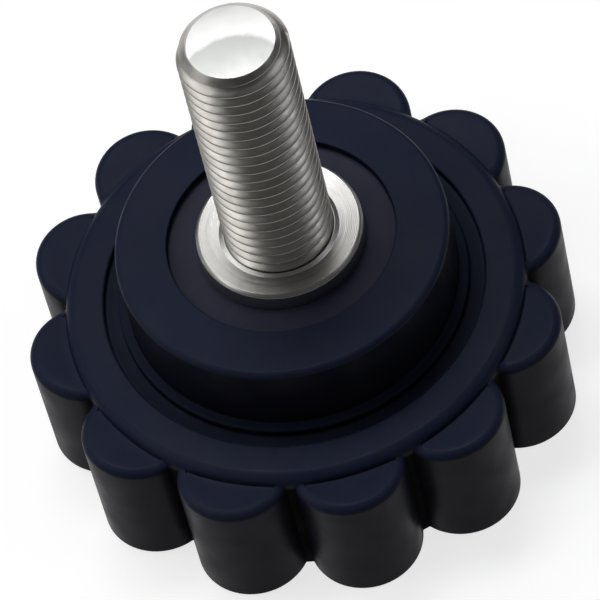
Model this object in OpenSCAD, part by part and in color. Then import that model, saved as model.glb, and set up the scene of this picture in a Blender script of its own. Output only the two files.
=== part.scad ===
// Nylon head screw: a lobed hand knob moulded round a flanged metal bush,
// with a threaded stud standing up out of the bush.
// It stands on the flat end of its head, with the stud pointing up along +Z.
// The origin is the centre of that flat end. Lengths are in millimetres.
// Widths are set outwards from the stud and inwards from the lobes, and the hub's wall
// takes up what is left between them.

/* [Stud] */
// Diameter over the thread's crests
stud_d = 10; // [6:0.5:14]
// Distance from one crest to the next
thread_pitch = 1.25; // [1:0.05:2]
// Depth from the crests to the thread's pitch line, where the stud and the bush meet
pitch_line_depth = 0.4; // [0.2:0.05:0.6]
// Length of the stud above the hub's top
stud_reach = 29; // [15:0.5:60]
// Least gap between the flange and the lowest crest
foot_gap = 0.1; // [0.1:0.1:1]
// Chamfer at both ends of the stud
stud_chamfer = 1.1; // [0.4:0.05:1.5]

/* [Flanged bush] */
// Wall of the bush's barrel, between its bore and the nylon
barrel_wall = 2.1; // [1.7:0.1:3]
// Length of the barrel below the flange
barrel_l = 14; // [11:0.5:17]
// Width of the flange outside the barrel
flange_w = 0.9; // [0.6:0.1:2]
// Height by which the flange stands above the hub's top
flange_proud = 1.2; // [0.6:0.1:2]
// Chamfer round the flange's outer edge
flange_chamfer = 0.3; // [0.1:0.1:0.5]
// Chamfer at the mouth of the bush's bore
mouth_chamfer = 0.5; // [0.4:0.1:1.4]
// Depth of the groove that keeps the barrel from pulling out
groove_depth = 0.7; // [0.3:0.1:0.9]
// Width of that groove
groove_w = 2.5; // [1.5:0.5:4]
// Distance from the flange down to the groove
groove_drop = 3; // [2:0.5:5]
// Depth of the two flats that keep the barrel from turning
flat_depth = 0.6; // [0.3:0.1:0.9]
// Length of the flats, up from the barrel's end
flat_l = 5; // [3:0.5:6]
// Thickness of the closed end of the bush
bush_end_t = 1.5; // [1:0.5:3]

/* [Hub] */
// Width of the recess floor that shows round the flange
recess_w = 2.8; // [1:0.2:5]
// Depth of the recess in the hub's top
recess_depth = 0.8; // [0.4:0.1:1.5]
// Rise of the hub above the lobe faces
hub_rise = 8.6; // [5:0.2:12]
// Rounding of the hub's top edge
hub_round = 0.5; // [0.2:0.1:1]
// Width of the small step round the hub's foot
foot_step_w = 0.6; // [0.3:0.1:1.5]
// Height of the foot step above the channel
foot_step_h = 0.9; // [0.6:0.1:2]

/* [Channel and land] */
// Width of the channel between the foot step and the land
channel_w = 1.4; // [0.6:0.1:3]
// Depth of the channel
channel_depth = 0.7; // [0.3:0.1:1.5]
// Width of the flat land between the channel and its own rounded edge
land_w = 2.5; // [1.2:0.1:4]
// Height of the land above the lobe faces
land_rise = 0.8; // [0.3:0.1:1.5]
// Rounding of the land's edge, where it drops to the lobe faces and into the valleys
land_round = 1.2; // [0.5:0.1:1.6]

/* [Lobed head] */
// Diameter over the lobes
head_d = 50; // [45:1:70]
// Number of lobes round the head, each just meeting the next
lobe_count = 12; // [10:1:14]
// Depth of the valleys between the lobes
lobe_depth = 3.8; // [2:0.2:5]
// Height of the lobe faces, from the flat end
lobe_height = 13.4; // [11:0.2:20]
// Rounding of the lobes' edge on the stud side
rim_round = 0.9; // [0.3:0.1:1.2]
// Rounding of the lobes' edge at the flat end
end_round = 0.4; // [0.3:0.1:2]
// Overlap of each lobe with the next, inside the head
lobe_overlap = 0.2; // [0.1:0.1:0.5]

/* [Hidden] */
$fn = 96;

// Overlap of shapes that are joined or cut past a face
over = 1;

// Form of the thread: narrow flat crests, flanks at 60 degrees to each other, and flat roots
crest_w = thread_pitch / 8;
thread_depth = 0.6134 * thread_pitch;
flank_rise = thread_depth * tan(30);

// Radii, from the stud outwards
stud_r = stud_d / 2;
root_r = stud_r - thread_depth;
bore_r = stud_r - pitch_line_depth;
barrel_r = bore_r + barrel_wall;
flange_r = barrel_r + flange_w;
recess_r = flange_r + recess_w;

// Radii, from the lobes inwards
head_r = head_d / 2;
valley_r = head_r - lobe_depth;
channel_r = valley_r - land_round - land_w;
foot_r = channel_r - channel_w;
hub_r = foot_r - foot_step_w;

// Each lobe is a round pillar that just meets its neighbours
lobe_step = 360 / lobe_count;
lobe_sine = sin(lobe_step / 2);
lobe_r = (head_r * lobe_sine + lobe_overlap / 2) / (1 + lobe_sine);
lobe_centre_r = head_r - lobe_r;

// Heights, from the flat end up
land_z = lobe_height + land_rise;
hub_top_z = lobe_height + hub_rise;
seat_z = hub_top_z - recess_depth;
flange_top_z = hub_top_z + flange_proud;
bush_bottom_z = seat_z - barrel_l;
bore_bottom_z = bush_bottom_z + bush_end_t;
groove_z = seat_z - groove_drop - groove_w;
stud_top_z = hub_top_z + stud_reach;

// Crests, counted down from the chamfer at the stud's end, each measured at its lower edge
top_crest_z = stud_top_z - stud_chamfer - crest_w;
thread_turns = floor((top_crest_z - flange_top_z - foot_gap) / thread_pitch);
low_crest_z = top_crest_z - thread_turns * thread_pitch;

// What rounding takes off a square corner, seen from the rounding's centre
module corner_waste(r, turn) {
    rotate(turn)
        difference() {
            square(r + over);
            circle(r);
        }
}

// A disc about Z with rounded edges, from z = low to z = high
module rounded_disc(r, low, high, low_round, high_round) {
    rotate_extrude()
        difference() {
            translate([0, low])
                square([r, high - low]);
            if (low_round > 0)
                translate([r - low_round, low + low_round])
                    corner_waste(low_round, -90);
            translate([r - high_round, high - high_round])
                corner_waste(high_round, 0);
        }
}

// The lobes, set round the core. Each one's seam is turned inwards, where the core covers it.
module lobes() {
    for (i = [0 : lobe_count - 1])
        rotate(i * lobe_step)
            translate([lobe_centre_r, 0, 0])
                rotate(180)
                    rounded_disc(lobe_r, 0, lobe_height, end_round, rim_round);
}

// The lobed body. Its round core stands above the lobe faces as the land,
// which has the channel that frames the hub's foot cut into it.
module lobed_body() {
    difference() {
        union() {
            rounded_disc(valley_r, 0, land_z, end_round, land_round);
            lobes();
        }
        translate([0, 0, land_z - channel_depth])
            cylinder(r = channel_r, h = channel_depth + over);
    }
}

// The hub, with the small step round its foot
module hub() {
    channel_z = land_z - channel_depth;
    rounded_disc(hub_r, channel_z - over, hub_top_z, 0, hub_round);
    translate([0, 0, channel_z - over])
        cylinder(r = foot_r, h = foot_step_h + over);
}

// The flange of the bush, chamfered round its top
module flange() {
    rotate_extrude()
        polygon([
            [0, seat_z],
            [flange_r, seat_z],
            [flange_r, flange_top_z - flange_chamfer],
            [flange_r - flange_chamfer, flange_top_z],
            [0, flange_top_z]
        ]);
}

// The barrel below the flange, with its groove and its two flats
module barrel() {
    difference() {
        translate([0, 0, bush_bottom_z])
            cylinder(r = barrel_r, h = barrel_l + recess_depth);
        translate([0, 0, groove_z])
            difference() {
                cylinder(r = barrel_r + over, h = groove_w);
                cylinder(r = barrel_r - groove_depth, h = groove_w);
            }
        for (side = [0, 180])
            rotate(side)
                translate([barrel_r - flat_depth, -barrel_r, bush_bottom_z - over])
                    cube([flat_depth + over, 2 * barrel_r, flat_l + over]);
    }
}

// The outside of the bush, which also shapes the hollow in the head
module bush_outside() {
    flange();
    barrel();
}

// The moulded nylon head, in one piece
module head() {
    color("#23262e")
        difference() {
            union() {
                lobed_body();
                hub();
            }
            translate([0, 0, seat_z])
                cylinder(r = recess_r, h = recess_depth + over);
            bush_outside();
        }
}

// The turned metal bush, bored for the stud
module bush() {
    color("#c9c8c2")
        difference() {
            bush_outside();
            translate([0, 0, bore_bottom_z])
                cylinder(r = bore_r, h = flange_top_z - bore_bottom_z + over);
            translate([0, 0, flange_top_z - mouth_chamfer])
                cylinder(r1 = bore_r, r2 = bore_r + mouth_chamfer + over, h = mouth_chamfer + over);
        }
}

// One turn of the thread, upwards from the lower edge of a crest to the lower edge of the next
function thread_turn(z) = [
    [stud_r, z],
    [stud_r, z + crest_w],
    [root_r, z + crest_w + flank_rise],
    [root_r, z + thread_pitch - flank_rise]
];

// The threaded stud. Each turn of its thread is drawn as a ring where it stands free,
// and the stud is drawn at the thread's pitch line where it is screwed into the bush.
module stud() {
    color("#b4b0aa")
        rotate_extrude()
            polygon([
                [0, bore_bottom_z],
                [bore_r - stud_chamfer, bore_bottom_z],
                [bore_r, bore_bottom_z + stud_chamfer],
                [bore_r, low_crest_z - pitch_line_depth * tan(30)],
                for (i = [0 : thread_turns - 1]) each thread_turn(low_crest_z + i * thread_pitch),
                [stud_r, top_crest_z],
                [stud_r, top_crest_z + crest_w],
                [stud_r - stud_chamfer, stud_top_z],
                [0, stud_top_z]
            ]);
}

head();
bush();
stud();
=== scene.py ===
"""Looks of the nylon head screw: a lobed nylon knob, its flanged metal bush and its threaded stud.

Everything is in metres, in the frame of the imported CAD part: the knob stands on its flat
end at z = 0, and the stud points up along +Z. Sizes of features are written in millimetres.
"""

import math

import bmesh
import bpy
from mathutils import Matrix, Vector


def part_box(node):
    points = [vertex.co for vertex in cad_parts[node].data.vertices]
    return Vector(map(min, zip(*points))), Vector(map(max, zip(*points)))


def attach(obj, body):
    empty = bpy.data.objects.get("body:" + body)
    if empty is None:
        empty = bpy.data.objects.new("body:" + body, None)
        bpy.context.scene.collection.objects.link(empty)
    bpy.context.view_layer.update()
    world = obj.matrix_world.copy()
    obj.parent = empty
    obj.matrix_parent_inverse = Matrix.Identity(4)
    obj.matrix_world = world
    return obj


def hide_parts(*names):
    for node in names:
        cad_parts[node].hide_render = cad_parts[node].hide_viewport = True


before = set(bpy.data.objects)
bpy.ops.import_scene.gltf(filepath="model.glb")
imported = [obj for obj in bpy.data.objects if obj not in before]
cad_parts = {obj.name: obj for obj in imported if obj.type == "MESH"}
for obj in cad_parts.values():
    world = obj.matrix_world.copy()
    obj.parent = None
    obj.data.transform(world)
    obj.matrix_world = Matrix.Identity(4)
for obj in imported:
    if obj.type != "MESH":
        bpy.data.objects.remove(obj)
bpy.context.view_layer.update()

MM = 0.001

# Sizes that the CAD boxes give
HEAD_LOW, HEAD_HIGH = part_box("head")
BUSH_LOW, BUSH_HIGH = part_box("bush")
STUD_LOW, STUD_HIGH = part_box("stud")
HEAD_R = min(HEAD_HIGH.x, HEAD_HIGH.y, -HEAD_LOW.x, -HEAD_LOW.y) / MM
HUB_TOP = HEAD_HIGH.z / MM
FLANGE_TOP = BUSH_HIGH.z / MM
BUSH_END = BUSH_LOW.z / MM
STUD_TOP = STUD_HIGH.z / MM
STUD_END = STUD_LOW.z / MM

# Knob, in millimetres
LOBES = 12
LOBE_R = 5.22
VALLEY_R, VALLEY_FILLET = 21.2, 0.15
LOBE_Z, LOBE_FILLET = 13.4, 0.2
DISH_R, DISH_SLOPE, DISH_FADE = 22.9, 0.13, 0.3
END_ROUND, RIM_ROUND = 0.4, 0.9
LAND_Z, LAND_ROUND = 14.2, 1.2
CHANNEL_R, CHANNEL_Z = 17.5, 13.5
FOOT_R, FOOT_TOP = 16.1, 14.4
HUB_R, HUB_ROUND = 15.2, 0.6
RECESS_R, RECESS_FLOOR = 10.4, 21.2

# Bush and stud, in millimetres
FLANGE_R, FLANGE_CHAMFER = 7.6, 0.3
BARREL_R = 6.7
GROOVE_DROP, GROOVE_W, GROOVE_DEPTH = 3.0, 2.5, 0.7
BORE_R, BORE_BOTTOM, MOUTH_CHAMFER = 4.6, 8.7, 0.43
LIP_R, LIP_W, LIP_H = 5.09, 0.36, 0.16
STUD_R, STUD_CHAMFER = 5.0, 1.1

# Thread: its pitch in millimetres, its depth and half its crest in pitches, its flanks in degrees
PITCH = 1.25
THREAD_DEPTH, HALF_CREST, FLANK_ANGLE = 0.6134, 1 / 14, 30

# How the knob's skin is cut into rings: radii of the rings in the flat end, steps to a rounding,
# shares of a straight run, and the least step inwards from one ring to the next, in millimetres
FLAT_END_RINGS = (4, 12)
QUARTER_STEPS = 8
SHARES = (0.25, 0.5, 0.75)
LEAST_STEP = 0.005

# Where the land's rounding comes out of the lobes' fillet, in degrees round its edge
LAND_START = 27


# ---------------------------------------------------------------- mesh helpers


def corner_arc(before, corner, after, radius, steps):
    """Points of a rounded corner between two straight runs of a profile."""
    a = (Vector(before) - Vector(corner)).normalized()
    b = (Vector(after) - Vector(corner)).normalized()
    half = a.angle(b) / 2
    reach = radius / math.tan(half)
    centre = Vector(corner) + (a + b).normalized() * (radius / math.sin(half))
    start = Vector(corner) + a * reach - centre
    end = Vector(corner) + b * reach - centre
    sweep = start.angle_signed(end)
    points = []
    for i in range(steps + 1):
        turned = start.copy()
        turned.rotate(Matrix.Rotation(-sweep * i / steps, 2))
        points.append(tuple(centre + turned))
    return points


def rounded_profile(corners, steps=6):
    """A profile of (across, up, rounding) corners, with each rounding drawn as an arc."""
    points = []
    for i, (across, up, radius) in enumerate(corners):
        if radius <= 0 or i in (0, len(corners) - 1):
            points.append((across, up))
        else:
            before = corners[i - 1][:2]
            after = corners[i + 1][:2]
            points += corner_arc(before, (across, up), after, radius, steps)
    return points


def at_heading(r, heading, z):
    """The point at a radius, a heading and a height in millimetres."""
    return Vector((r * math.cos(heading), r * math.sin(heading), z)) * MM


def quarter(steps):
    """The angles of a quarter turn, cut into equal steps, with both its ends."""
    return [math.pi / 2 * i / steps for i in range(steps + 1)]


def skin_rings(name, rings):
    """A mesh piece made of rings with equally many points, skinned one to the next and closed."""
    mesh = bmesh.new()
    made = [[mesh.verts.new(p) for p in ring] for ring in rings]
    count = len(rings[0])
    for low, high in zip(made, made[1:]):
        for i in range(count):
            j = (i + 1) % count
            mesh.faces.new((low[i], low[j], high[j], high[i]))
    mesh.faces.new(made[0][::-1])
    mesh.faces.new(made[-1])
    bmesh.ops.recalc_face_normals(mesh, faces=mesh.faces)
    return as_object(name, mesh)


def as_object(name, mesh):
    """Turns a finished bmesh into a smooth-shaded object in the scene."""
    data = bpy.data.meshes.new(name)
    mesh.to_mesh(data)
    mesh.free()
    piece = bpy.data.objects.new(name, data)
    bpy.context.scene.collection.objects.link(piece)
    data.shade_smooth()
    return piece


def crisp_shading(piece, angle=40):
    """Keeps flat faces flat and corners crisp, and smooths only across roundings."""
    piece.data.set_sharp_from_angle(angle=math.radians(angle))
    weighted = piece.modifiers.new("weighted normals", "WEIGHTED_NORMAL")
    weighted.keep_sharp = True
    weighted.weight = 60


# ------------------------------------------------------------------- the knob


def arc(centre, radius, start, end, steps):
    """Points of an arc, without its last point, which starts the next arc."""
    points = []
    for i in range(steps):
        a = start + (end - start) * i / steps
        points.append((centre[0] + radius * math.cos(a), centre[1] + radius * math.sin(a)))
    return points


def lobed_outline(core, lobe):
    """The knob's outline, for a core and lobes of the given radii: a lobe, a valley, and so on.

    A valley is a short arc of the round core between two lobes, with a small fillet
    where it meets each of them.
    """
    lobe_centre = HEAD_R - LOBE_R
    fillet = VALLEY_FILLET
    reach = core + fillet
    cosine = (reach**2 + lobe_centre**2 - (lobe + fillet) ** 2) / (2 * lobe_centre * reach)
    aside = math.acos(cosine)
    flank = math.atan2(reach * math.sin(aside), reach * math.cos(aside) - lobe_centre)
    step = 2 * math.pi / LOBES
    points = []
    for i in range(LOBES):
        middle = i * step
        after = middle + step
        centre = (lobe_centre * math.cos(middle), lobe_centre * math.sin(middle))
        near = middle + aside
        far = after - aside
        near_centre = (reach * math.cos(near), reach * math.sin(near))
        far_centre = (reach * math.cos(far), reach * math.sin(far))
        points += arc(centre, lobe, middle - flank, middle + flank, 30)
        points += arc(near_centre, fillet, middle + flank + math.pi, near + math.pi, 3)
        points += arc((0, 0), core, near, far, 5)
        points += arc(far_centre, fillet, far + math.pi, after - flank + math.pi, 3)
    return points


def core_r(z):
    """Radius of the round core at a height, round the land's edge."""
    above = max(0, z - (LAND_Z - LAND_ROUND))
    return VALLEY_R - LAND_ROUND + math.sqrt(LAND_ROUND**2 - above**2)


def core_z(r):
    """Height of the round core at a radius, round the land's edge."""
    past = max(0, r - (VALLEY_R - LAND_ROUND))
    return LAND_Z - LAND_ROUND + math.sqrt(max(0, LAND_ROUND**2 - past**2))


def dish(r):
    """Height of the slightly dished lobe faces above or below their mean height."""
    return DISH_SLOPE * (r - DISH_R)


def lobed_ring(inset, z, follow):
    """A ring at height z, whose lobes follow the dish of the lobe faces by a share."""
    core = core_r(z)
    ring = []
    for x, y in lobed_outline(core - inset if z < LOBE_Z / 2 else core, LOBE_R - inset):
        r = math.hypot(x, y)
        on_lobe = min(1, (r - core) / DISH_FADE)
        ring.append(Vector((x, y, z + follow * on_lobe * dish(r))) * MM)
    return ring


def face_ring(radii, headings, rise):
    """A ring over the lobe faces, raised by some height, and over the core where that is higher."""
    heights = [max(LOBE_Z + dish(r) + rise, core_z(r)) for r in radii]
    return [at_heading(r, a, z) for r, a, z in zip(radii, headings, heights)]


def build_knob():
    """The nylon knob: lobes, land, channel, foot step, hub, recess and the bush's seat."""
    foot = core_r(LOBE_Z)
    rim = lobed_outline(foot, LOBE_R - RIM_ROUND)
    headings = [math.atan2(y, x) for x, y in rim]

    def level_ring(r, z):
        """A round ring, with its points on the same headings as the lobes' rim."""
        return [at_heading(r, a, z) for a in headings]

    rings = [level_ring(r, 0) for r in FLAT_END_RINGS]
    for t in quarter(QUARTER_STEPS):
        rings.append(lobed_ring(END_ROUND * (1 - math.sin(t)), END_ROUND * (1 - math.cos(t)), 0))
    for share in SHARES:
        rings.append(lobed_ring(0, END_ROUND + (LOBE_Z - RIM_ROUND - END_ROUND) * share, share))
    for t in quarter(QUARTER_STEPS):
        z = LOBE_Z - RIM_ROUND * (1 - math.sin(t))
        rings.append(lobed_ring(RIM_ROUND * (1 - math.cos(t)), z, 1))

    # Over the lobe faces, from their rim to the fillet at the land's foot, and up the fillet
    reaches = [math.hypot(p.x, p.y) / MM for p in rings[-1]]
    for share in SHARES:
        inner = [min(foot + LOBE_FILLET, out - LEAST_STEP) for out in reaches]
        radii = [out + (r - out) * share for out, r in zip(reaches, inner)]
        rings.append(face_ring(radii, headings, 0))
    for k, t in enumerate(quarter(QUARTER_STEPS // 2)):
        fillet_r = foot + LOBE_FILLET * (1 - math.sin(t))
        radii = [min(fillet_r, out - LEAST_STEP * (k + 2)) for out in reaches]
        rings.append(face_ring(radii, headings, LOBE_FILLET * (1 - math.cos(t))))

    # Round the land's edge, from just above the lobe faces
    low = math.radians(LAND_START)
    for i in range(QUARTER_STEPS + 1):
        t = low + (math.pi / 2 - low) * i / QUARTER_STEPS
        r = VALLEY_R - LAND_ROUND * (1 - math.cos(t))
        rings.append(level_ring(r, core_z(r)))
    upper = rounded_profile(
        [
            (VALLEY_R - LAND_ROUND, LAND_Z, 0),
            (CHANNEL_R, LAND_Z, 0.25),
            (CHANNEL_R, CHANNEL_Z, 0.2),
            (FOOT_R, CHANNEL_Z, 0.2),
            (FOOT_R, FOOT_TOP, 0.25),
            (HUB_R, FOOT_TOP, 0.2),
            (HUB_R, HUB_TOP, HUB_ROUND),
            (RECESS_R, HUB_TOP, 0.15),
            (RECESS_R, RECESS_FLOOR, 0.12),
            (BARREL_R, RECESS_FLOOR, 0.08),
            (BARREL_R, BUSH_END, 0.3),
            (2, BUSH_END, 0),
        ]
    )
    rings += [level_ring(r, z) for r, z in upper[1:]]
    knob = skin_rings("lobed_knob", rings)
    crisp_shading(knob)
    return knob


# ------------------------------------------------------------- bush and stud


def lathe(name, profile, around=144):
    """A turned piece: a profile of (radius, height) in millimetres, spun about the Z axis."""
    turns = [2 * math.pi * i / around for i in range(around)]
    return skin_rings(name, [[at_heading(r, a, z) for a in turns] for r, z in profile])


def build_bush():
    """The flanged bush, closed below, with a groove round its barrel and a lip at its mouth."""
    groove_high = RECESS_FLOOR - GROOVE_DROP
    groove_low = groove_high - GROOVE_W
    groove_r = BARREL_R - GROOVE_DEPTH
    profile = rounded_profile(
        [
            (1.0, BUSH_END, 0),
            (BARREL_R, BUSH_END, 0.3),
            (BARREL_R, groove_low, 0.1),
            (groove_r, groove_low, 0.1),
            (groove_r, groove_high, 0.1),
            (BARREL_R, groove_high, 0.1),
            (BARREL_R, RECESS_FLOOR, 0.05),
            (FLANGE_R, RECESS_FLOOR, 0.1),
            (FLANGE_R, FLANGE_TOP - FLANGE_CHAMFER, 0.12),
            (FLANGE_R - FLANGE_CHAMFER, FLANGE_TOP, 0.12),
            (LIP_R + LIP_W, FLANGE_TOP - LIP_H, 0.1),
            (LIP_R, FLANGE_TOP, 0.025),
            (BORE_R + MOUTH_CHAMFER, FLANGE_TOP, 0.025),
            (BORE_R, FLANGE_TOP - MOUTH_CHAMFER, 0.08),
            (BORE_R, BORE_BOTTOM, 0.1),
            (1.0, BORE_BOTTOM, 0),
        ],
        steps=4,
    )
    bush = lathe("flanged_bush", profile)
    crisp_shading(bush)
    return bush


def thread_profile():
    """One turn of the thread, as (share of the pitch, radius), from crest to rounded root."""
    depth = THREAD_DEPTH * PITCH
    root = STUD_R - depth
    flank = THREAD_DEPTH * math.tan(math.radians(FLANK_ANGLE))
    shoulder_r, crest_r = STUD_R - 0.055, STUD_R - 0.008
    flat = HALF_CREST * 0.45
    half_flank = HALF_CREST + flank * 0.5
    low_flank = HALF_CREST + flank * 0.93
    return [
        (-HALF_CREST, shoulder_r),
        (-flat, crest_r),
        (flat, crest_r),
        (HALF_CREST, shoulder_r),
        (half_flank, STUD_R - depth * 0.5),
        (low_flank, root + depth * 0.07),
        (0.5 - 0.035, root - 0.01),
        (0.5 + 0.035, root - 0.01),
        (1 - low_flank, root + depth * 0.07),
        (1 - half_flank, STUD_R - depth * 0.5),
    ]


def build_thread():
    """A right-handed helical thread, longer than the stud at both ends."""
    around = 96
    shape = thread_profile()
    per_turn = len(shape)
    low = STUD_END - 2 * PITCH
    total = per_turn * (math.ceil((STUD_TOP - low) / PITCH) + 2)
    mesh = bmesh.new()
    columns = []
    for i in range(around):
        a = 2 * math.pi * i / around
        column = []
        for k in range(total + 1):
            share, radius = shape[k % per_turn]
            z = low + PITCH * (k // per_turn + share + i / around)
            column.append(mesh.verts.new(at_heading(radius, a, z)))
        columns.append(column)
    for i in range(around):
        here = columns[i]
        beside = columns[(i + 1) % around]
        shift = per_turn if i == around - 1 else 0
        for k in range(total - shift):
            mesh.faces.new((here[k], beside[k + shift], beside[k + 1 + shift], here[k + 1]))
    for height, rim in thread_ends(mesh):
        middle = mesh.verts.new((0, 0, height))
        for edge in rim:
            mesh.faces.new((*edge.verts, middle))
    bmesh.ops.recalc_face_normals(mesh, faces=mesh.faces)
    return as_object("thread", mesh)


def thread_ends(mesh):
    """The two open rims of the helical thread, each with the mean height of its points."""
    rims = [[], []]
    middle = (STUD_TOP + STUD_END) / 2 * MM
    for edge in mesh.edges:
        if edge.is_boundary:
            rims[edge.verts[0].co.z > middle].append(edge)
    heights = [sum(e.verts[0].co.z for e in rim) / len(rim) for rim in rims]
    return list(zip(heights, rims))


def build_stud():
    """The stud: a rolled thread, cut to length by a turned envelope with a chamfered end."""
    in_bore = BORE_R - 0.02
    mouth = FLANGE_TOP - MOUTH_CHAMFER
    profile = rounded_profile(
        [
            (0.5, BORE_BOTTOM + 0.05, 0),
            (BORE_R - 0.8, BORE_BOTTOM + 0.05, 0.1),
            (in_bore, BORE_BOTTOM + 0.8, 0.1),
            (in_bore, mouth + 0.02, 0),
            (STUD_R, mouth + 0.42, 0),
            (STUD_R, STUD_TOP - STUD_CHAMFER, 0),
            (STUD_R - STUD_CHAMFER, STUD_TOP - 0.03, 0.12),
            (0.5, STUD_TOP, 0),
        ],
        steps=4,
    )
    envelope = lathe("stud_envelope", profile, around=192)
    stud = build_thread()
    stud.name = "threaded_stud"
    cut = stud.modifiers.new("cut to length", "BOOLEAN")
    cut.operation = "INTERSECT"
    cut.solver = "EXACT"
    cut.object = envelope
    bpy.context.view_layer.update()
    graph = bpy.context.evaluated_depsgraph_get()
    finished = bpy.data.meshes.new_from_object(stud.evaluated_get(graph))
    stud.modifiers.clear()
    stud.data = finished
    finished.name = "threaded_stud"
    bpy.data.objects.remove(envelope)
    finished.shade_smooth()
    crisp_shading(stud, 50)
    return stud


# ------------------------------------------------------------------- finishes

NYLON, NYLON_CLOUD = (0.0150, 0.0205, 0.0450, 1), (0.0210, 0.0240, 0.0460, 1)
# A paler tone for the recess floor
RECESS_PALER = (0.032, 0.034, 0.055, 1)
# Painted shade for the side walls, a little browner than the nylon
WALL_SHADE = (0.005, 0.004, 0.005, 1)
# Painted shade for the valleys between the lobes and the channel round the hub
CREASE_SHADE = (0.0015, 0.0015, 0.002, 1)
BUSH_METAL, BUSH_CLOUD = (0.55, 0.545, 0.53, 1), (0.47, 0.465, 0.45, 1)
STUD_STEEL, STUD_CLOUD = (0.60, 0.58, 0.55, 1), (0.50, 0.47, 0.43, 1)
# The end face's own colour, and painted shade over its near part
END_FACE_METAL, END_FACE_SHADE = (0.85, 0.85, 0.84, 1), (0.46, 0.47, 0.46, 1)
WHITE, MID_GREY = (1, 1, 1, 1), (0.5, 0.5, 0.5, 1)


def new_group(name, inputs, outputs):
    """A shader node group. inputs and outputs are {name of a socket: (kind, start value)}."""
    group = bpy.data.node_groups.new(name, "ShaderNodeTree")
    for in_out, sockets in (("INPUT", inputs), ("OUTPUT", outputs)):
        for socket_name, (kind, start) in sockets.items():
            socket = group.interface.new_socket(
                name=socket_name, in_out=in_out, socket_type="NodeSocket" + kind
            )
            if start is not None:
                socket.default_value = start
    entry = group.nodes.new("NodeGroupInput")
    leave = group.nodes.new("NodeGroupOutput")
    return group, entry, leave


def put(tree, kind, settings=None, **sockets):
    """Adds a node, sets its properties, and feeds its sockets from values or other sockets.

    A socket goes by its name, or by an underscore and its number.
    """
    node = tree.nodes.new("ShaderNode" + kind)
    for key, value in (settings or {}).items():
        setattr(node, key, value)
    for key, value in sockets.items():
        number = key[1:]
        socket = node.inputs[int(number) if number.isdigit() else key.replace("_", " ")]
        if isinstance(value, bpy.types.NodeSocket):
            tree.links.new(value, socket)
        else:
            socket.default_value = value
    return node


def place(tree, group, **sockets):
    """Places a node group in a material, with its own values."""
    return put(tree, "Group", {"node_tree": group}, **sockets)


def maths(tree, operation, a, b):
    """What a maths node makes of two numbers."""
    return put(tree, "Math", {"operation": operation}, _0=a, _1=b).outputs[0]


def sum_of(tree, a, b, weight):
    """a + b * weight"""
    return put(tree, "Math", {"operation": "MULTIPLY_ADD"}, _0=b, _1=weight, _2=a).outputs[0]


def ramp(tree, value, start, end, first=0.0, last=1.0):
    """A number that goes from first to last as the value goes from start to end."""
    return put(
        tree, "MapRange", Value=value, From_Min=start, From_Max=end, To_Min=first, To_Max=last
    ).outputs[0]


def blend(tree, share, colour, other):
    """A colour that goes over to the other one with the share."""
    return put(tree, "Mix", {"data_type": "RGBA"}, _0=share, _6=colour, _7=other).outputs[2]


def scaled(tree, vector, amount):
    """A vector or a colour, times a number."""
    return put(tree, "VectorMath", {"operation": "SCALE"}, _0=vector, Scale=amount).outputs[0]


def times(tree, vector, factors):
    """A vector with each of its parts times its own factor."""
    return put(tree, "VectorMath", {"operation": "MULTIPLY"}, _0=vector, _1=factors).outputs[0]


def length_of(tree, vector):
    """The length of a vector."""
    return put(tree, "VectorMath", {"operation": "LENGTH"}, _0=vector).outputs["Value"]


def noise(tree, where, scale, detail, roughness):
    """Soft noise through space, at a number of waves to the metre."""
    return put(
        tree, "TexNoise", Vector=where, Scale=scale, Detail=detail, Roughness=roughness
    ).outputs[0]


def mottle_group():
    """Slow, cloudy change of colour over a surface, from one colour to another."""
    group, entry, leave = new_group(
        "cloudy colour",
        {
            "Colour": ("Color", MID_GREY),
            "Other colour": ("Color", MID_GREY),
            "Cloud size mm": ("Float", 4.0),
            "Amount": ("Float", 0.5),
        },
        {"Colour": ("Color", None)},
    )
    where = put(group, "TexCoord").outputs["Object"]
    clouds = maths(group, "DIVIDE", 1 / MM, entry.outputs["Cloud size mm"])
    spread = ramp(group, noise(group, where, clouds, 4.0, 0.6), 0.35, 0.65)
    share = maths(group, "MULTIPLY", spread, entry.outputs["Amount"])
    mixed = blend(group, share, entry.outputs["Colour"], entry.outputs["Other colour"])
    group.links.new(mixed, leave.inputs["Colour"])
    return group


def grain_group():
    """The fine skin of a moulded or plated surface, as a height, with a value for its gloss."""
    group, entry, leave = new_group(
        "fine grain",
        {
            "Grain size mm": ("Float", 0.25),
            "Wave size mm": ("Float", 3.0),
            "Wave share": ("Float", 0.5),
        },
        {"Height": ("Float", None), "Gloss change": ("Float", None)},
    )
    where = put(group, "TexCoord").outputs["Object"]
    grains = maths(group, "DIVIDE", 1 / MM, entry.outputs["Grain size mm"])
    waves = maths(group, "DIVIDE", 1 / MM, entry.outputs["Wave size mm"])
    wave = noise(group, where, waves, 1.0, 0.4)
    height = sum_of(group, noise(group, where, grains, 3.0, 0.6), wave, entry.outputs["Wave share"])
    group.links.new(height, leave.inputs["Height"])
    group.links.new(wave, leave.inputs["Gloss change"])
    return group


def turning_group():
    """Rings left by a lathe tool about the Z axis, as a height, and the distance from that axis."""
    group, entry, leave = new_group(
        "turning marks",
        {"Feed mm": ("Float", 0.2), "Unevenness": ("Float", 0.5)},
        {"Height": ("Float", None), "Radius mm": ("Float", None)},
    )
    where = put(group, "TexCoord").outputs["Object"]
    radius = length_of(group, times(group, where, (1 / MM, 1 / MM, 0)))
    turns = maths(group, "DIVIDE", radius, entry.outputs["Feed mm"])
    ripple = maths(group, "PINGPONG", turns, 0.5)
    stray = put(
        group, "TexNoise", {"noise_dimensions": "1D"},
        W=turns, Scale=0.37, Detail=3.0, Roughness=0.7,
    ).outputs[0]
    height = sum_of(group, ripple, stray, entry.outputs["Unevenness"])
    group.links.new(height, leave.inputs["Height"])
    group.links.new(radius, leave.inputs["Radius mm"])
    return group


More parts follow.
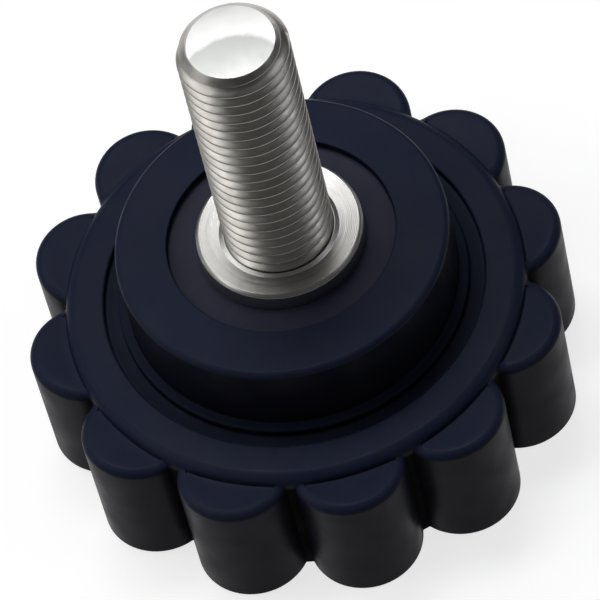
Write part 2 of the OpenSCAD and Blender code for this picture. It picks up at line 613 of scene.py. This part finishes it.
def end_face_group():
    """The cut end of a bar across Z: a bright face, with painted shade over a duller zone of it.

    The duller zone is what lies within its radius of a point beside the axis.
    """
    group, entry, leave = new_group(
        "cut end face",
        {
            "Face height mm": ("Float", 50.0),
            "Dull zone centre mm": ("Vector", (0, 0, 0)),
            "Dull zone radius mm": ("Float", 5.0),
        },
        {"Face": ("Float", None), "Colour": ("Color", None)},
    )
    where = put(group, "TexCoord").outputs["Object"]
    in_mm = scaled(group, where, 1 / MM)
    up = put(group, "SeparateXYZ", _0=in_mm).outputs["Z"]
    below = maths(group, "SUBTRACT", entry.outputs["Face height mm"], up)
    face = ramp(group, below, 0.05, 0.2, 1.0, 0.0)
    from_centre = put(
        group, "VectorMath", {"operation": "SUBTRACT"},
        _0=in_mm, _1=entry.outputs["Dull zone centre mm"],
    ).outputs[0]
    away = length_of(group, times(group, from_centre, (1, 1, 0)))
    edge = sum_of(group, away, noise(group, where, 500.0, 3.0, 0.6), 0.8)
    past = maths(group, "SUBTRACT", edge, entry.outputs["Dull zone radius mm"])
    # Painted shade over the duller zone
    colour = blend(group, ramp(group, past, 0.1, 0.6), END_FACE_SHADE, END_FACE_METAL)
    cloudy = ramp(group, noise(group, where, 250.0, 2.0, 0.5), 0.3, 0.7, 0.94, 1.0)
    group.links.new(face, leave.inputs["Face"])
    group.links.new(scaled(group, colour, cloudy), leave.inputs["Colour"])
    return group


def new_material(name):
    """An empty node material with a Principled shader and its output."""
    material = bpy.data.materials.new(name)
    material.use_nodes = True
    tree = material.node_tree
    tree.nodes.clear()
    shader = tree.nodes.new("ShaderNodeBsdfPrincipled")
    output = tree.nodes.new("ShaderNodeOutputMaterial")
    tree.links.new(shader.outputs[0], output.inputs[0])
    return material, tree, shader


def dress(tree, shader, colour, rough, bump):
    """Feeds a shader's colour, roughness and normal."""
    tree.links.new(colour, shader.inputs["Base Color"])
    tree.links.new(rough, shader.inputs["Roughness"])
    tree.links.new(bump.outputs[0], shader.inputs["Normal"])


def nylon_material(mottle, grain, turning):
    """Blue-black moulded nylon with a fine matt skin.

    The recess floor is paler, painted shade darkens the side walls and makes them browner
    than the faces, and painted shade darkens the valleys between the lobes and the channel
    round the hub, which are also made rougher.
    """
    material, tree, shader = new_material("blue_black_nylon")
    colour = place(
        tree, mottle, Colour=NYLON, Other_colour=NYLON_CLOUD, Cloud_size_mm=5.0, Amount=0.8
    ).outputs["Colour"]
    radius = place(tree, turning).outputs["Radius mm"]
    where = put(tree, "TexCoord")
    height = put(tree, "SeparateXYZ", _0=where.outputs["Object"]).outputs["Z"]
    facing_up = put(tree, "SeparateXYZ", _0=where.outputs["Normal"]).outputs["Z"]

    in_recess = ramp(tree, radius, RECESS_R - 0.3, RECESS_R, 1.0, 0.0)
    # Painted shade on faces that turn away from up, such as the side walls
    wall_shade_share = ramp(tree, facing_up, 0.15, 0.6, 0.75, 0.0)
    # Painted shade in the valleys and in the channel round the hub, which also get rougher
    below_faces = ramp(tree, height, (LOBE_Z - 0.9) * MM, (LOBE_Z - 0.3) * MM, 1.0, 0.0)
    by_core = ramp(tree, radius, VALLEY_R + 0.1, VALLEY_R + 1.1, 0.95, 0.0)
    in_valley = maths(tree, "MULTIPLY", below_faces, by_core)
    by_foot = ramp(tree, height, (LAND_Z + 0.5) * MM, (LAND_Z + 1.5) * MM, 0.35, 0.0)
    inside_land = ramp(tree, radius, CHANNEL_R - 0.5, CHANNEL_R - 0.1, 1.0, 0.0)
    in_channel = maths(tree, "MULTIPLY", by_foot, inside_land)
    crease_shade = maths(tree, "MAXIMUM", in_valley, in_channel)

    # The recess floor is paler
    colour = blend(tree, in_recess, colour, RECESS_PALER)
    # Painted shade on the side walls
    colour = blend(tree, wall_shade_share, colour, WALL_SHADE)
    # Painted shade in the valleys and the channel
    colour = blend(tree, crease_shade, colour, CREASE_SHADE)
    skin = place(tree, grain, Grain_size_mm=0.22, Wave_size_mm=2.5, Wave_share=0.6)
    rough = ramp(tree, skin.outputs["Gloss change"], 0.3, 0.7, 0.34, 0.46)
    rough = sum_of(tree, rough, crease_shade, 0.45)
    bump = put(tree, "Bump", Strength=0.25, Distance=0.05 * MM, Height=skin.outputs["Height"])
    dress(tree, shader, colour, rough, bump)
    shader.inputs["IOR"].default_value = 1.5
    shader.inputs["Specular IOR Level"].default_value = 0.045
    return material


def bush_material(mottle, turning):
    """Bright turned metal with fine rings left by the tool."""
    material, tree, shader = new_material("turned_bush_metal")
    colour = place(
        tree, mottle, Colour=BUSH_METAL, Other_colour=BUSH_CLOUD, Cloud_size_mm=1.5, Amount=0.5
    ).outputs["Colour"]
    marks = place(tree, turning, Feed_mm=0.16, Unevenness=0.8).outputs["Height"]
    bump = put(tree, "Bump", Strength=0.5, Distance=0.03 * MM, Height=marks)
    dress(tree, shader, colour, ramp(tree, marks, 0.2, 0.9, 0.24, 0.36), bump)
    shader.inputs["Metallic"].default_value = 1
    return material


def stud_material(mottle, grain, turning, end_face):
    """Plated steel, a little warm, with painted shade in the roots of the thread and along its
    crests.
    """
    material, tree, shader = new_material("plated_thread_steel")
    colour = place(
        tree, mottle, Colour=STUD_STEEL, Other_colour=STUD_CLOUD, Cloud_size_mm=2.5, Amount=0.6
    ).outputs["Colour"]
    radius = place(tree, turning).outputs["Radius mm"]
    # Painted shade: darker down in the thread's roots, and on its crests to dim their highlights
    root = ramp(tree, radius, STUD_R - 0.8, STUD_R - 0.1, 0.75, 1.0)
    crest = ramp(tree, radius, STUD_R - 0.09, STUD_R - 0.04, 1.0, 0.65)
    shaded = scaled(tree, colour, maths(tree, "MULTIPLY", root, crest))
    # The duller zone is painted shade over the near part of the end face
    face = place(
        tree, end_face, Face_height_mm=STUD_TOP,
        Dull_zone_centre_mm=(-0.5, -4.4, 0), Dull_zone_radius_mm=5.1,
    )
    colour = blend(tree, face.outputs["Face"], shaded, face.outputs["Colour"])
    skin = place(tree, grain, Grain_size_mm=0.12, Wave_size_mm=1.0, Wave_share=0.4)
    rough = ramp(tree, skin.outputs["Gloss change"], 0.3, 0.7, 0.30, 0.40)
    bump = put(tree, "Bump", Strength=0.3, Distance=0.02 * MM, Height=skin.outputs["Height"])
    dress(tree, shader, colour, rough, bump)
    shader.inputs["Metallic"].default_value = 1
    return material


# ------------------------------------------------------- stage, light, camera

FLOOR_GREY, FLOOR_GLOW = (0.45, 0.45, 0.45, 1), 0.74
SOFT_LIGHT = 0.062

# Camera: its heading, height and roll in degrees, its distance from the hub's top in metres, how
# far its aim lies to the right of the hub's middle and below it in millimetres, and its lens
CAMERA_TURNS = (-1.62, 54.21, -14.66)
CAMERA_DISTANCE = 0.4709
AIM_RIGHT, AIM_BELOW = 1.733, 5.9
LENS = 315.3


def bright_to_eye(tree, lit, extra):
    """Adds a plain white glow that only direct view, gloss and glass can see."""
    rays = put(tree, "LightPath").outputs
    seen = maths(tree, "MAXIMUM", rays["Is Camera Ray"], rays["Is Glossy Ray"])
    seen = maths(tree, "MAXIMUM", seen, rays["Is Transmission Ray"])
    glow = put(tree, "Emission", Strength=maths(tree, "MULTIPLY", seen, extra))
    return put(tree, "AddShader", _0=lit, _1=glow.outputs[0]).outputs[0]


def build_floor():
    """A wide pale floor at the level that the knob stands on."""
    half = 3.0
    level = HEAD_LOW.z - 0.02 * MM
    mesh = bmesh.new()
    corners = [(-half, -half), (half, -half), (half, half), (-half, half)]
    mesh.faces.new([mesh.verts.new((x, y, level)) for x, y in corners])
    floor = as_object("floor", mesh)
    material, tree, shader = new_material("pale_floor")
    shader.inputs["Base Color"].default_value = FLOOR_GREY
    shader.inputs["Roughness"].default_value = 0.9
    output = next(n for n in tree.nodes if n.bl_idname == "ShaderNodeOutputMaterial")
    tree.links.new(bright_to_eye(tree, shader.outputs[0], FLOOR_GLOW), output.inputs[0])
    floor.data.materials.append(material)


def build_world():
    """Soft, even light from all round, and white where the eye looks past the floor."""
    world = bpy.data.worlds.new("studio")
    bpy.context.scene.world = world
    world.use_nodes = True
    tree = world.node_tree
    tree.nodes.clear()
    soft = put(tree, "Background", Color=WHITE, Strength=SOFT_LIGHT)
    white = put(tree, "Background", Color=WHITE, Strength=1.0)
    seen = put(tree, "LightPath").outputs["Is Camera Ray"]
    mixed = put(tree, "MixShader", _0=seen, _1=soft.outputs[0], _2=white.outputs[0])
    output = tree.nodes.new("ShaderNodeOutputWorld")
    tree.links.new(mixed.outputs[0], output.inputs[0])


def add_softbox(name, heading, height, distance, width, tall, glow, tint=(1, 1, 1)):
    """A soft light that looks at the hub.

    Its heading is clockwise from the back, seen from above, and its height is an angle, both in
    degrees. Its distance and sizes are in metres, and glow is how bright its face looks.
    """
    light = bpy.data.lights.new(name, "AREA")
    light.shape = "RECTANGLE"
    light.size = width
    light.size_y = tall
    light.energy = glow * math.pi * width * tall
    light.color = tint
    box = bpy.data.objects.new(name, light)
    bpy.context.scene.collection.objects.link(box)
    a, e = math.radians(heading), math.radians(height)
    towards = Vector((math.sin(a) * math.cos(e), math.cos(a) * math.cos(e), math.sin(e)))
    box.location = Vector((0, 0, HEAD_HIGH.z)) + towards * distance
    box.rotation_mode = "QUATERNION"
    box.rotation_quaternion = towards.to_track_quat("Z", "Y")


def build_camera():
    """A long lens that looks down at the knob, rolled so that the stud leans to the left."""
    azimuth, elevation, roll = (math.radians(v) for v in CAMERA_TURNS)
    back = Vector(
        (
            math.sin(azimuth) * math.cos(elevation),
            -math.cos(azimuth) * math.cos(elevation),
            math.sin(elevation),
        )
    )
    level = (-back).cross(Vector((0, 0, 1))).normalized()
    upright = level.cross(-back)
    right = level * math.cos(roll) + upright * math.sin(roll)
    up = upright * math.cos(roll) - level * math.sin(roll)
    hub = Vector((0, 0, HEAD_HIGH.z))
    eye = hub + back * CAMERA_DISTANCE
    aim = hub + right * AIM_RIGHT * MM - up * AIM_BELOW * MM
    facing = (eye - aim).normalized()
    right = up.cross(facing).normalized()
    up = facing.cross(right)
    data = bpy.data.cameras.new("camera")
    data.lens = LENS
    camera = bpy.data.objects.new("camera", data)
    bpy.context.scene.collection.objects.link(camera)
    turn = Matrix((right, up, facing)).transposed().to_4x4()
    camera.matrix_world = Matrix.Translation(eye) @ turn
    bpy.context.scene.camera = camera


# ------------------------------------------------------------------ assembly

mottle, grain, turning = mottle_group(), grain_group(), turning_group()
end_face = end_face_group()
pieces = (
    (build_knob(), "head", "nylon", nylon_material(mottle, grain, turning)),
    (build_bush(), "bush", "bush_metal", bush_material(mottle, turning)),
    (build_stud(), "stud", "stud_steel", stud_material(mottle, grain, turning, end_face)),
)
for piece, node, slot, material in pieces:
    piece.data.materials.clear()
    piece.data.materials.append(material)
    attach(piece, "root")
    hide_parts(node)

build_floor()
build_world()
add_softbox("back softbox", -4, 62, 1.2, 0.8, 0.6, 1.35)
add_softbox("overhead softbox", -12, 71, 1.2, 0.6, 0.25, 7.5)
add_softbox("left softbox", -77, 40, 1.1, 0.95, 0.6, 1.9)
add_softbox("right strip", 99, 50, 1.1, 0.35, 0.35, 1.8, (0.93, 0.96, 1.0))
build_camera()
bpy.context.scene.view_settings.view_transform = "Standard"
